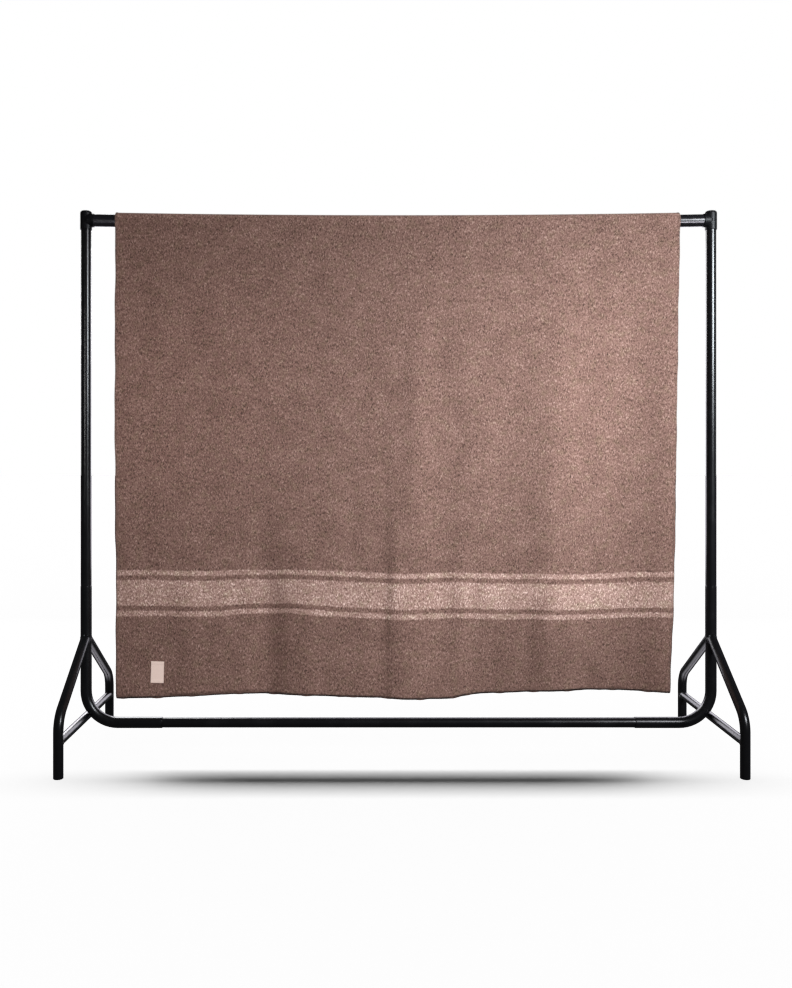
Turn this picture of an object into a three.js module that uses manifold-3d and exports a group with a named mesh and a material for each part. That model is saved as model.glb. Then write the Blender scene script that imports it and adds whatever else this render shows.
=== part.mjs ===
// A striped wool blanket hung over the top rail of a steel garment rail, in millimetres with +Z up.
// The origin is on the floor, midway between the four feet. +X runs along the rail and -Y is the front.
import * as THREE from "three";
import { mergeVertices } from "three/addons/utils/BufferGeometryUtils.js";
import Module from "manifold-3d";

const wasm = await Module();
wasm.setup();

// Garment rail: tube sizes and the places of their centre lines
const UPRIGHT_SPACING = 1800;
const RAIL_HEIGHT = 1522; // centre of the top rail at its two ends
const RAIL_SAG = 8.5; // dip of the loaded top rail at mid-span
const RAIL_RADIUS = 17.75;
const UPRIGHT_RADIUS = 14.5;
const BASE_RADIUS = 15; // the bent tube that carries an upright and turns into the bottom rail
const BASE_TOP = 470; // where the upright is plugged into the bent tube
const BASE_BEND = 92; // centre-line radius of that bend
const BASE_REACH = 220; // from the upright's centre line to the joint in the bottom rail
const BOTTOM_RAIL_HEIGHT = 76;
const BOTTOM_RAIL_RADIUS = 13.5;
const LEG_RADIUS = 12.5;
const LEG_SPREAD = 245; // from the uprights' plane to the centre of a foot
const LEG_KNEE = 155; // where the leg's upright and sloping centre lines cross
const LEG_BEND = 68;
const LEG_MEET = 325; // where the leg's sloping centre line reaches the upright's
const CROSSBAR_RADIUS = 11;

// Corner fitting: a capped sleeve over the upright with a collar for the rail
const SLEEVE_RADIUS = 16.6;
const SLEEVE_HALF = 27.5; // above and below the rail's centre line
const SLEEVE_DOME = 7; // rounding of the cap
const SLEEVE_SOCKET = 43; // how deep the upright sits
const COLLAR_REACH = 23; // from the upright's centre line to the collar's face
const COLLAR_ROOT_RADIUS = 16; // at the upright's centre line, inside the sleeve
const COLLAR_RADIUS = 19.2;
const COLLAR_SWELL = 12; // from the upright's centre line to where the collar has its full size

// Blanket: the flat cloth, and how it lies over the rail
const BLANKET_WIDTH = 1620;
const BLANKET_LENGTH = 2134;
const BLANKET_THICK = 3.5;
const BLANKET_OFFSET = -2.5; // of its centre line from the rail's middle
const RAIL_CLEARANCE = 2;
const FRONT_DROP = 1359; // from the rail's centre line to the front hem
const BAND_DROP = 1068; // from the rail's centre line to the middle of the stripe band
const LEFT_GATHER = 6; // how far each side edge of the front drop is drawn in at its hem
const LEFT_GATHER_GROWTH = 2; // the left edge is drawn in late, near the hem
const RIGHT_GATHER = 27;
const RIGHT_GATHER_GROWTH = 0.6; // the right edge is drawn in early, from the rail down
const BACK_FOLD = 9; // height of the back drop's low waves at its hem
const BACK_WAVES = 2;
const BACK_GROWTH = 1.8; // how late these waves open below the rail
const BACK_GATHER = 28; // how much narrower the back drop is at its hem

// Label sewn near the front hem's left corner
const LABEL_WIDTH = 37;
const LABEL_HEIGHT = 59;
const LABEL_THICK = 1;
const LABEL_ACROSS = -690;
const LABEL_ALONG = 70.5; // from the front hem to its middle
const LABEL_TILT = THREE.MathUtils.degToRad(-2);

// Gaps between neighbouring pieces, and how finely round and soft shapes are cut
const FIT_GAP = 0.4;
const LABEL_GAP = 1;
const TUBE_SIDES = 24;
const BEND_STEPS = 8;
const CURVE_STEPS = 4;
const RAIL_STEPS = 12;
const CLOTH_COLUMNS = 60;
const FRONT_ROWS = 18;
const ARC_ROWS = 8;
const BACK_ROWS = 8;
const LABEL_COLUMNS = 4;
const LABEL_ROWS = 6;

// Folds of the front drop, one row for each ridge, trough or slope, from the left edge to the right.
// across: place from the blanket's centre line. band, hem: how far the cloth stands out at the stripe
// band and at the hem. bandLift, hemLift: how far it is drawn up there. growth: how late it opens below
// the rail.
const FOLDS = [
  { across: -810, band: 2, hem: 16, bandLift: 0, hemLift: -6, growth: 1.6 },
  { across: -700, band: 0, hem: 2, bandLift: 2, hemLift: -6, growth: 2 },
  { across: -600, band: -2, hem: -2, bandLift: 1, hemLift: -3, growth: 2.5 },
  { across: -520, band: -10, hem: -9, bandLift: 1, hemLift: 1, growth: 3 },
  { across: -440, band: -21, hem: -19, bandLift: 6, hemLift: 3, growth: 4 },
  { across: -366, band: -27, hem: -25, bandLift: 6, hemLift: 3, growth: 6 },
  { across: -306, band: -9, hem: -4, bandLift: 10, hemLift: 5, growth: 6 },
  { across: -250, band: -3, hem: 2, bandLift: 8, hemLift: 5, growth: 4 },
  { across: -150, band: -3, hem: 4, bandLift: 3, hemLift: 3, growth: 2.5 },
  { across: -70, band: 0, hem: 6, bandLift: 0, hemLift: 1, growth: 2 },
  { across: -26, band: 0, hem: 7, bandLift: -2, hemLift: 0, growth: 2.6 },
  { across: -4, band: 7, hem: 12, bandLift: -2, hemLift: -1, growth: 2.6 },
  { across: 45, band: 9, hem: 14, bandLift: -3, hemLift: -3, growth: 1.1 },
  { across: 100, band: -3, hem: 4, bandLift: -2, hemLift: -4, growth: 1 },
  { across: 140, band: -11, hem: -5, bandLift: -2, hemLift: -6, growth: 1 },
  { across: 165, band: -11, hem: -9, bandLift: -1, hemLift: -5, growth: 1.1 },
  { across: 200, band: -5, hem: -15, bandLift: -2, hemLift: 0, growth: 1.2 },
  { across: 255, band: -7, hem: -30, bandLift: -4, hemLift: 3, growth: 1.2 },
  { across: 325, band: -9, hem: -38, bandLift: -6, hemLift: 3, growth: 1.2 },
  { across: 422, band: 8, hem: -27, bandLift: -5, hemLift: 8, growth: 1.1 },
  { across: 462, band: 13, hem: -22, bandLift: -6, hemLift: 9, growth: 1 },
  { across: 520, band: 2, hem: -30, bandLift: -8, hemLift: 9, growth: 1 },
  { across: 580, band: -14, hem: -42, bandLift: -10, hemLift: 8, growth: 1 },
  { across: 655, band: -20, hem: -44, bandLift: -8, hemLift: 6, growth: 1 },
  { across: 735, band: -8, hem: -32, bandLift: -5, hemLift: 4, growth: 1 },
  { across: 810, band: 4, hem: -12, bandLift: -4, hemLift: 2, growth: 1 },
];

// Finishes
const WOOL = { color: 0x86685c, roughness: 0.95, metalness: 0 };
const LABEL_CLOTH = { color: 0xecd9cf, roughness: 0.8, metalness: 0 };
const PAINTED_STEEL = { color: 0x141416, roughness: 0.35, metalness: 0.2 };
const MOULDED_PLASTIC = { color: 0x121213, roughness: 0.5, metalness: 0 };

// A closed solid from a geometry, for cutting and joining
function solidOf(geometry) {
  const bare = geometry.clone();
  bare.deleteAttribute("normal");
  bare.deleteAttribute("uv");
  const merged = mergeVertices(bare, 1e-3);
  return new wasm.Manifold(
    new wasm.Mesh({
      numProp: 3,
      vertProperties: merged.attributes.position.array,
      triVerts: new Uint32Array(merged.index.array),
    }),
  );
}

// A geometry back from a solid
function geometryOf(solid) {
  const mesh = solid.getMesh();
  const geometry = new THREE.BufferGeometry();
  geometry.setAttribute("position", new THREE.BufferAttribute(mesh.vertProperties, 3));
  geometry.setIndex(new THREE.BufferAttribute(mesh.triVerts, 1));
  geometry.computeVertexNormals();
  return geometry;
}

// A path through chosen stations, each with its own direction, so that straight stretches take one step
class StationPath extends THREE.Curve {
  constructor(stations) {
    super();
    this.stations = stations;
  }
  stationAt(t) {
    return this.stations[Math.round(t * (this.stations.length - 1))];
  }
  getPoint(t, target = new THREE.Vector3()) {
    return target.copy(this.stationAt(t).point);
  }
  getTangent(t, target = new THREE.Vector3()) {
    return target.copy(this.stationAt(t).direction);
  }
  getUtoTmapping(u) {
    return u;
  }
}

// A round bar through the stations of a path
function roundBar(stations, radius) {
  const corners = [];
  for (let side = 0; side < TUBE_SIDES; side++) {
    const angle = (2 * Math.PI * side) / TUBE_SIDES;
    corners.push(new THREE.Vector2(radius * Math.cos(angle), radius * Math.sin(angle)));
  }
  const settings = { steps: stations.length - 1, extrudePath: new StationPath(stations) };
  return new THREE.ExtrudeGeometry(new THREE.Shape(corners), settings);
}

// Stations of a centre line that goes straight from start to end but for one rounded corner
function bentRoute(start, corner, end, bendRadius) {
  const into = corner.clone().sub(start).normalize();
  const away = end.clone().sub(corner).normalize();
  const turn = into.angleTo(away);
  const setback = bendRadius * Math.tan(turn / 2);
  const axis = into.clone().cross(away).normalize();
  const bendStart = corner.clone().addScaledVector(into, -setback);
  const centre = bendStart.clone().addScaledVector(axis.clone().cross(into), bendRadius);
  const stations = [{ point: start, direction: into }];
  for (let step = 0; step <= BEND_STEPS; step++) {
    const angle = (turn * step) / BEND_STEPS;
    const point = bendStart.clone().sub(centre).applyAxisAngle(axis, angle).add(centre);
    stations.push({ point, direction: into.clone().applyAxisAngle(axis, angle) });
  }
  stations.push({ point: end, direction: away });
  return stations;
}

// A straight round bar of a given length, its middle at the origin and its axis along Y
function straightBar(radius, length) {
  return new THREE.CylinderGeometry(radius, radius, length, TUBE_SIDES);
}

// Height of the top rail's centre line, which dips between the corner fittings
const RAIL_HALF = UPRIGHT_SPACING / 2 - COLLAR_REACH - FIT_GAP;
function railHeight(x) {
  return RAIL_HEIGHT - RAIL_SAG * (1 - Math.min(1, (x / RAIL_HALF) ** 2));
}

// Top rail, slightly bowed under the blanket
function topRail() {
  const stations = [];
  for (let step = 0; step <= RAIL_STEPS; step++) {
    const x = RAIL_HALF * ((2 * step) / RAIL_STEPS - 1);
    stations.push({ point: new THREE.Vector3(x, 0, railHeight(x)), direction: new THREE.Vector3(1, 0, 0) });
  }
  return roundBar(stations, RAIL_RADIUS);
}

// Corner fitting about the upright's top: its collar faces +X, and the upright's socket opens downwards
function cornerFitting() {
  const cap = new THREE.Path();
  cap.moveTo(0, -SLEEVE_HALF);
  cap.lineTo(SLEEVE_RADIUS, -SLEEVE_HALF);
  cap.lineTo(SLEEVE_RADIUS, SLEEVE_HALF - SLEEVE_DOME);
  cap.absarc(SLEEVE_RADIUS - SLEEVE_DOME, SLEEVE_HALF - SLEEVE_DOME, SLEEVE_DOME, 0, Math.PI / 2, false);
  cap.lineTo(0, SLEEVE_HALF);
  const sleeve = new THREE.LatheGeometry(cap.getPoints(CURVE_STEPS), TUBE_SIDES).rotateX(Math.PI / 2);
  const swell = new THREE.Path();
  swell.moveTo(0, 0);
  swell.lineTo(COLLAR_ROOT_RADIUS, 0);
  swell.quadraticCurveTo(COLLAR_RADIUS, 0, COLLAR_RADIUS, COLLAR_SWELL);
  swell.lineTo(COLLAR_RADIUS, COLLAR_REACH);
  swell.lineTo(0, COLLAR_REACH);
  const collar = new THREE.LatheGeometry(swell.getPoints(CURVE_STEPS), TUBE_SIDES).rotateZ(-Math.PI / 2);
  const socket = straightBar(UPRIGHT_RADIUS + FIT_GAP, SLEEVE_SOCKET * 2).rotateX(Math.PI / 2);
  socket.translate(0, 0, -SLEEVE_HALF);
  return geometryOf(solidOf(sleeve).add(solidOf(collar)).subtract(solidOf(socket)));
}

// Bent base tube about the upright's centre line: down from the upright and round into the bottom rail
function baseTube() {
  const start = new THREE.Vector3(0, 0, BASE_TOP);
  const corner = new THREE.Vector3(0, 0, BOTTOM_RAIL_HEIGHT);
  const end = new THREE.Vector3(BASE_REACH, 0, BOTTOM_RAIL_HEIGHT);
  return roundBar(bentRoute(start, corner, end, BASE_BEND), BASE_RADIUS);
}

// Front leg about the upright's centre line, its upper end coped to fit against the base tube
function frontLeg() {
  const foot = new THREE.Vector3(0, -LEG_SPREAD, 0);
  const knee = new THREE.Vector3(0, -LEG_SPREAD, LEG_KNEE);
  const meet = new THREE.Vector3(0, 0, LEG_MEET);
  const bar = roundBar(bentRoute(foot, knee, meet, LEG_BEND), LEG_RADIUS);
  const cope = straightBar(BASE_RADIUS + FIT_GAP, LEG_MEET).rotateX(Math.PI / 2).translate(0, 0, LEG_MEET);
  return geometryOf(solidOf(bar).subtract(solidOf(cope)));
}

// Crossbar between the two legs of one end, coped to both, just outside the base tube's bend
function crossbar() {
  const toBend = BASE_BEND + BASE_RADIUS + CROSSBAR_RADIUS + FIT_GAP;
  const height = BOTTOM_RAIL_HEIGHT + BASE_BEND - Math.sqrt(toBend ** 2 - BASE_BEND ** 2);
  let bar = solidOf(straightBar(CROSSBAR_RADIUS, 2 * LEG_SPREAD).translate(0, 0, height));
  for (const side of [-1, 1]) {
    const cope = straightBar(LEG_RADIUS + FIT_GAP, 2 * LEG_KNEE).rotateX(Math.PI / 2);
    bar = bar.subtract(solidOf(cope.translate(0, side * LEG_SPREAD, 0)));
  }
  return geometryOf(bar);
}

// Cubic from a to b with given end slopes, t from 0 to 1
function hermite(a, b, slopeA, slopeB, t) {
  const [t2, t3] = [t * t, t * t * t];
  const ends = a * (2 * t3 - 3 * t2 + 1) + b * (3 * t2 - 2 * t3);
  return ends + slopeA * (t3 - 2 * t2 + t) + slopeB * (t3 - t2);
}

// One column of the fold table at any place across, on a smooth curve through its rows
function foldValue(across, column) {
  const last = FOLDS.length - 1;
  const place = THREE.MathUtils.clamp(across, FOLDS[0].across, FOLDS[last].across);
  let row = 0;
  while (row < last - 1 && place > FOLDS[row + 1].across) row++;
  const slope = (index) => {
    const before = FOLDS[Math.max(index - 1, 0)];
    const after = FOLDS[Math.min(index + 1, last)];
    return (after[column] - before[column]) / (after.across - before.across);
  };
  const [left, right] = [FOLDS[row], FOLDS[row + 1]];
  const span = right.across - left.across;
  const t = (place - left.across) / span;
  return hermite(left[column], right[column], slope(row) * span, slope(row + 1) * span, t);
}

// A fold's size at a given drop below the rail: nothing at the rail, then its band and hem values
function foldAt(drop, atBand, atHem, growth) {
  if (drop <= BAND_DROP) return atBand * (drop / BAND_DROP) ** growth;
  const span = FRONT_DROP - BAND_DROP;
  const slopeAtBand = (atBand * growth * span) / BAND_DROP;
  return hermite(atBand, atHem, slopeAtBand, atHem - atBand, (drop - BAND_DROP) / span);
}

// Middle surface of the blanket: across from its centre line, along from the front hem over the rail
const WRAP_RADIUS = RAIL_RADIUS + RAIL_CLEARANCE + BLANKET_THICK / 2;
const WRAP_LENGTH = Math.PI * WRAP_RADIUS;
const BACK_DROP = BLANKET_LENGTH - FRONT_DROP - WRAP_LENGTH;
function drape(across, along) {
  const x = BLANKET_OFFSET + across;
  const top = railHeight(x);
  const wrapped = along - FRONT_DROP;
  if (wrapped < 0) {
    const drop = -wrapped;
    const share = drop / FRONT_DROP;
    const fromLeft = across / BLANKET_WIDTH + 0.5;
    const leftDraw = LEFT_GATHER * share ** LEFT_GATHER_GROWTH * (1 - fromLeft);
    const rightDraw = RIGHT_GATHER * share ** RIGHT_GATHER_GROWTH * fromLeft;
    const growth = foldValue(across, "growth");
    const depth = foldAt(drop, foldValue(across, "band"), foldValue(across, "hem"), growth);
    const lift = foldAt(drop, foldValue(across, "bandLift"), foldValue(across, "hemLift"), growth);
    return new THREE.Vector3(x + leftDraw - rightDraw, -WRAP_RADIUS - depth, top - drop + lift);
  }
  if (wrapped <= WRAP_LENGTH) {
    const angle = wrapped / WRAP_RADIUS;
    return new THREE.Vector3(x, -WRAP_RADIUS * Math.cos(angle), top + WRAP_RADIUS * Math.sin(angle));
  }
  const drop = wrapped - WRAP_LENGTH;
  const share = drop / BACK_DROP;
  const wave = BACK_FOLD * Math.sin((2 * Math.PI * BACK_WAVES * across) / BLANKET_WIDTH);
  const narrowed = x - (BACK_GATHER * share * across) / BLANKET_WIDTH;
  return new THREE.Vector3(narrowed, WRAP_RADIUS + wave * share ** BACK_GROWTH, top - drop);
}

// A point off the blanket's middle surface, out from the rail by the given height
const NEARBY = 0.5; // mm, for measuring the surface's slope
function offCloth(across, along, height) {
  const right = drape(across + NEARBY, along).sub(drape(across - NEARBY, along));
  const up = drape(across, along + NEARBY).sub(drape(across, along - NEARBY));
  return drape(across, along).addScaledVector(right.cross(up).normalize(), height);
}

// Places along the blanket where its rows lie: close together only round the rail
function clothRows() {
  const rows = [];
  for (let row = 0; row < FRONT_ROWS; row++) rows.push((FRONT_DROP * row) / FRONT_ROWS);
  for (let row = 0; row < ARC_ROWS; row++) rows.push(FRONT_DROP + (WRAP_LENGTH * row) / ARC_ROWS);
  for (let row = 0; row <= BACK_ROWS; row++) rows.push(BLANKET_LENGTH - BACK_DROP * (1 - row / BACK_ROWS));
  return rows;
}

// Moves every point of a flat sheet, a box with its thickness along Y, by a function of its box coordinates
function shapedSheet(box, place) {
  const position = box.attributes.position;
  const point = new THREE.Vector3();
  for (let index = 0; index < position.count; index++) {
    point.copy(place(point.fromBufferAttribute(position, index)));
    position.setXYZ(index, point.x, point.y, point.z);
  }
  box.computeVertexNormals();
  return box;
}

// The blanket, one closed sheet
function blanket() {
  const rows = clothRows();
  const last = rows.length - 1;
  const sheet = new THREE.BoxGeometry(BLANKET_WIDTH, BLANKET_THICK, last, CLOTH_COLUMNS, 1, last);
  return shapedSheet(sheet, (p) => offCloth(p.x, rows[Math.round(last / 2 - p.z)], p.y));
}

// The label, a small sheet that follows the cloth under it
function label() {
  const sheet = new THREE.BoxGeometry(LABEL_WIDTH, LABEL_THICK, LABEL_HEIGHT, LABEL_COLUMNS, 1, LABEL_ROWS);
  const height = BLANKET_THICK / 2 + LABEL_GAP + LABEL_THICK / 2;
  const [cosine, sine] = [Math.cos(LABEL_TILT), Math.sin(LABEL_TILT)];
  return shapedSheet(sheet, (p) => {
    const across = LABEL_ACROSS + p.x * cosine + p.z * sine;
    const along = LABEL_ALONG + p.x * sine - p.z * cosine;
    return offCloth(across, along, height + p.y);
  });
}

// Assembly
const object = new THREE.Group();
function add(parent, name, geometry, finish) {
  const mesh = new THREE.Mesh(geometry, new THREE.MeshStandardMaterial(finish));
  mesh.name = name;
  parent.add(mesh);
  return mesh;
}

add(object, "blanket", blanket(), WOOL);
add(object, "label", label(), LABEL_CLOTH);
add(object, "top_rail", topRail(), PAINTED_STEEL);
const bottomRailLength = UPRIGHT_SPACING - 2 * (BASE_REACH + FIT_GAP);
const bottomBar = straightBar(BOTTOM_RAIL_RADIUS, bottomRailLength);
const bottomRail = add(object, "bottom_rail", bottomBar, PAINTED_STEEL);
bottomRail.rotation.z = Math.PI / 2;
bottomRail.position.z = BOTTOM_RAIL_HEIGHT;

// The two ends are alike: the right one is the left one turned half round
for (const [side, place, turn] of [["left", -1, 0], ["right", 1, Math.PI]]) {
  const end = new THREE.Group();
  end.position.x = (place * UPRIGHT_SPACING) / 2;
  end.rotation.z = turn;
  object.add(end);
  add(end, `corner_${side}`, cornerFitting(), MOULDED_PLASTIC).position.z = RAIL_HEIGHT;
  const uprightFoot = BASE_TOP + FIT_GAP;
  const uprightHead = RAIL_HEIGHT - SLEEVE_HALF + SLEEVE_SOCKET - FIT_GAP;
  const uprightBar = straightBar(UPRIGHT_RADIUS, uprightHead - uprightFoot);
  const upright = add(end, `upright_${side}`, uprightBar, PAINTED_STEEL);
  upright.rotation.x = Math.PI / 2;
  upright.position.z = (uprightFoot + uprightHead) / 2;
  add(end, `base_${side}`, baseTube(), PAINTED_STEEL);
  add(end, `crossbar_${side}`, crossbar(), PAINTED_STEEL);
  for (const way of ["front", "rear"]) {
    const leg = add(end, `leg_${way}_${side}`, frontLeg(), PAINTED_STEEL);
    leg.rotation.z = (way === "rear" ? Math.PI : 0) - turn;
  }
}

export default object;
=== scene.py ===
# %% [markdown]
# # A wool blanket on a garment rail
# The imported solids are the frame: they say where every tube runs and how the cloth hangs. This lesson
# dresses them. The tubes are drawn again as smooth pipes with welds, and the blanket as a fine sheet
# with a woven stripe, sewn edges and a bare label. Everything is in metres, in the frame's own place.

# %% Load the frame
import math
from collections import namedtuple

import bmesh
import bpy
import numpy as np
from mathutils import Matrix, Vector


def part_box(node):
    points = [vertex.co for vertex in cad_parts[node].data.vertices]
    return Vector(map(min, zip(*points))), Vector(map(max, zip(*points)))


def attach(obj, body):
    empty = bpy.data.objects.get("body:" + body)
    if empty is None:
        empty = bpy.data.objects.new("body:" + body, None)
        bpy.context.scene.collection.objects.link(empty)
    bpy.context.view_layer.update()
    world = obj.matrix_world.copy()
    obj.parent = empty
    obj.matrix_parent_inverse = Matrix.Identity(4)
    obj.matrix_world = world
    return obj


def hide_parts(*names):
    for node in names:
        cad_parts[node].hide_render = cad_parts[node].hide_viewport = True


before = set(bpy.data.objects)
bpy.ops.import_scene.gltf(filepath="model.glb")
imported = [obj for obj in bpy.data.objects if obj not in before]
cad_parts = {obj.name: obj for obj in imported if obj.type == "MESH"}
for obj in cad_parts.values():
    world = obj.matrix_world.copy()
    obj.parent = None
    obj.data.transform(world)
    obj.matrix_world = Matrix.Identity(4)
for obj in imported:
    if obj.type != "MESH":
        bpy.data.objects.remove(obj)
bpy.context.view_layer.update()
MM = 0.001

# %% [markdown]
# ## Camera
# The photograph was taken square on, a little left of the middle, with a level camera: the uprights stay
# parallel and the horizon lies above the picture's middle. A tilted camera would make the uprights lean,
# so the camera stays level here too, and a small lens shift frames the rail, as on a view camera.

# %% Level camera with a small shift
PICTURE_WIDE = 792
PICTURE_HIGH = 988
HORIZON_ROW = 451
AXIS_COLUMN = 366
FOCAL_PIXELS = 938.5
CAMERA_PLACE = (-0.0937, -2.704, 0.858)
SENSOR = 36.0

camera_data = bpy.data.cameras.new("camera")
camera_data.sensor_width = SENSOR
camera_data.lens = FOCAL_PIXELS * SENSOR / PICTURE_HIGH
camera_data.shift_x = (PICTURE_WIDE / 2 - AXIS_COLUMN) / PICTURE_HIGH
camera_data.shift_y = (HORIZON_ROW - PICTURE_HIGH / 2) / PICTURE_HIGH
camera = bpy.data.objects.new("camera", camera_data)
camera.location = CAMERA_PLACE
camera.rotation_euler = (math.radians(90), 0, 0)
bpy.context.scene.collection.objects.link(camera)
bpy.context.scene.camera = camera
lens_shift = [round(camera_data.shift_x, 4), round(camera_data.shift_y, 4)]
print("lens", round(camera_data.lens, 2), "shift", lens_shift)

# %% [markdown]
# ## Writing finishes as sums
# A finish is a node tree. Drawing one by hand is clear but long in a script, so one small class wraps a
# socket: adding or multiplying two of them adds a Math node, and one method makes every other node.

# %% A socket that can be used in sums
# A Mix node has sockets for numbers, vectors and colours: these are the numbers of the colour ones
MIX_FACTOR, MIX_FIRST, MIX_SECOND, MIX_RESULT = 0, 6, 7, 2


class Wire:
    def __init__(self, tree, socket=None):
        self.tree = tree
        self.socket = socket

    def node(self, kind, settings=None, sockets=None, out=0):
        made = self.tree.nodes.new("ShaderNode" + kind)
        for name, value in (settings or {}).items():
            if name == "stops":
                fill_ramp(made.color_ramp, value)
            else:
                setattr(made, name, value)
        for name, value in (sockets or {}).items():
            if isinstance(value, Wire):
                self.tree.links.new(value.socket, made.inputs[name])
            else:
                made.inputs[name].default_value = value
        return Wire(self.tree, made.outputs[out])

    def math(self, operation, first, second):
        return self.node("Math", {"operation": operation}, {0: first, 1: second})

    def __add__(self, other):
        return self.math("ADD", self, other)

    def __radd__(self, other):
        return self.math("ADD", other, self)

    def __sub__(self, other):
        return self.math("SUBTRACT", self, other)

    def __rsub__(self, other):
        return self.math("SUBTRACT", other, self)

    def __mul__(self, other):
        return self.math("MULTIPLY", self, other)

    def __rmul__(self, other):
        return self.math("MULTIPLY", other, self)

    def step(self, low, high):
        edges = {"Value": self, "From Min": low, "From Max": high}
        return self.node("MapRange", {"interpolation_type": "SMOOTHSTEP"}, edges)

    def noise(self, scale, detail=2.0, roughness=0.5):
        values = {"Vector": self, "Scale": scale, "Detail": detail, "Roughness": roughness}
        return self.node("TexNoise", None, values)

    def stretched(self, x, y, z):
        return self.node("VectorMath", {"operation": "MULTIPLY"}, {0: self, 1: (x, y, z)})

    def turned(self, angle):
        return self.node("VectorRotate", {"rotation_type": "Z_AXIS"}, {"Vector": self, "Angle": angle})

    def mix(self, colour, other, blend="MIX"):
        settings = {"data_type": "RGBA", "blend_type": blend}
        sockets = {MIX_FACTOR: self, MIX_FIRST: colour, MIX_SECOND: other}
        return self.node("Mix", settings, sockets, MIX_RESULT)

    def ramp(self, stops):
        return self.node("ValToRGB", {"stops": stops}, {"Fac": self})

    def bump(self, strength, distance):
        return self.node("Bump", None, {"Height": self, "Strength": strength, "Distance": distance})


def fill_ramp(ramp, stops):
    while len(ramp.elements) < len(stops):
        ramp.elements.new(1.0)
    for element, (place, colour) in zip(ramp.elements, stops):
        element.position = place
        element.color = colour


def new_finish(name, constants):
    material = bpy.data.materials.new(name)
    material.use_nodes = True
    shader = material.node_tree.nodes["Principled BSDF"]
    for socket, value in constants.items():
        shader.inputs[socket].default_value = value
    return material, Wire(material.node_tree)


def connect(material, **links):
    shader = material.node_tree.nodes["Principled BSDF"]
    for name, wire in links.items():
        socket = shader.inputs[name.replace("_", " ").title()]
        material.node_tree.links.new(wire.socket, socket)
    print("finish", material.name, "nodes:", len(material.node_tree.nodes))
    return material

# %% [markdown]
# ## Fulled wool
# The yarn is spun from dyed and undyed fibres mixed together, so the cloth is not one brown but a salt
# and pepper of dark, middle and pale hairs a few millimetres long. Fulling felts them into a nap that
# hides most of the twill below, and its hairs lean to one side in one patch and to the other in the next.
# The stripe band is woven with paler yarn: a wide bar between two narrow ones. The pattern is measured
# along the cloth from its hem, so it reads the sheet's own map, in metres.

# %% Colours and sizes of the wool, in metres and in grains to the metre
CLOTH_MAP = "cloth"
STRIPE_BARS = ((0.2254, 0.2403), (0.2540, 0.3277), (0.3417, 0.3560))
STRIPE_BLUR = 0.0020
STRIPE_RAGGED, STRIPE_WANDER = 0.007, 0.003
TWILL_PITCH = 0.0034
HAIR_LEAN = 0.36
HAIR_STRETCH = (1.0, 0.42, 1.0)
FIBRE_GRAIN = (290.0, 2.0, 0.6)
FLECK_GRAIN = (700.0, 2.0, 0.6)
PATCH_GRAIN = (14.0, 3.0, 0.6)
MOSSY_GRAIN = (36.0, 3.0, 0.6)
MOSSY_TINT = (0.93, 1.0, 0.91, 1.0)
BROWN_YARN = (
    (0.30, (0.036, 0.018, 0.014, 1.0)), (0.43, (0.148, 0.077, 0.062, 1.0)),
    (0.57, (0.265, 0.144, 0.118, 1.0)), (0.72, (0.480, 0.304, 0.259, 1.0)),
)
PALE_YARN = (
    (0.32, (0.125, 0.066, 0.051, 1.0)), (0.45, (0.318, 0.182, 0.150, 1.0)),
    (0.56, (0.475, 0.286, 0.244, 1.0)), (0.67, (0.935, 0.672, 0.590, 1.0)),
)

# %% Heathered wool with its woven stripes
def wool_finish():
    material, start = new_finish("heathered_wool", {
        "Roughness": 0.94, "Specular IOR Level": 0.18,
        "Sheen Weight": 0.12, "Sheen Roughness": 0.5, "Sheen Tint": (0.82, 0.66, 0.58, 1.0),
    })
    cloth = start.node("UVMap", {"uv_map": CLOTH_MAP})
    across = start.node("SeparateXYZ", None, {0: cloth}, out="X")
    along = start.node("SeparateXYZ", None, {0: cloth}, out="Y")
    hairs = cloth.turned(HAIR_LEAN).stretched(*HAIR_STRETCH)
    others = cloth.turned(-HAIR_LEAN).stretched(*HAIR_STRETCH)
    lean = cloth.noise(110.0).step(0.42, 0.58)
    fibre = lean * hairs.noise(*FIBRE_GRAIN) + (1.0 - lean) * others.noise(*FIBRE_GRAIN)
    fleck = hairs.noise(*FLECK_GRAIN)
    lively = cloth.noise(55.0) * 0.9 + 0.55
    patch = cloth.noise(*PATCH_GRAIN)
    tone = (fibre - 0.5) * lively * 0.94 + fleck * 0.32 + patch * 0.15 + 0.265
    wander = (hairs.noise(240.0) - 0.5) * STRIPE_RAGGED + (cloth.noise(30.0) - 0.5) * STRIPE_WANDER
    ragged = along + wander
    stripes = None
    for low, high in STRIPE_BARS:
        rise = ragged.step(low - STRIPE_BLUR, low + STRIPE_BLUR)
        fall = ragged.step(high - STRIPE_BLUR, high + STRIPE_BLUR)
        bar = rise - fall
        stripes = bar if stripes is None else stripes + bar
    slant = (across + along) * (2 * math.pi / TWILL_PITCH)
    twill = start.node("Math", {"operation": "SINE"}, {0: slant})
    relief = fibre * 0.6 + fleck * 0.45 + twill * 0.035
    yarn = stripes.mix(tone.ramp(BROWN_YARN), tone.ramp(PALE_YARN))
    mossy = cloth.noise(*MOSSY_GRAIN).step(0.46, 0.70) * 0.9
    colour = mossy.mix(yarn, MOSSY_TINT, blend="MULTIPLY")
    return connect(material, base_color=colour, normal=relief.bump(0.55, 0.0016))


wool = wool_finish()

# %% [markdown]
# ## Sewing thread and label tape
# The edges are whipped over with wool yarn, in the cloth's own browns along the sides and in a very dark
# brown along the hems. The label is a woven tape with a fine rib, sewn down with thin pale thread. Its face
# stays bare. Stitches are small, so noise in the object's own place is enough to break up their colour.

# %% Yarn, thread and tape
TAPE_RIB = 0.0009


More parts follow.
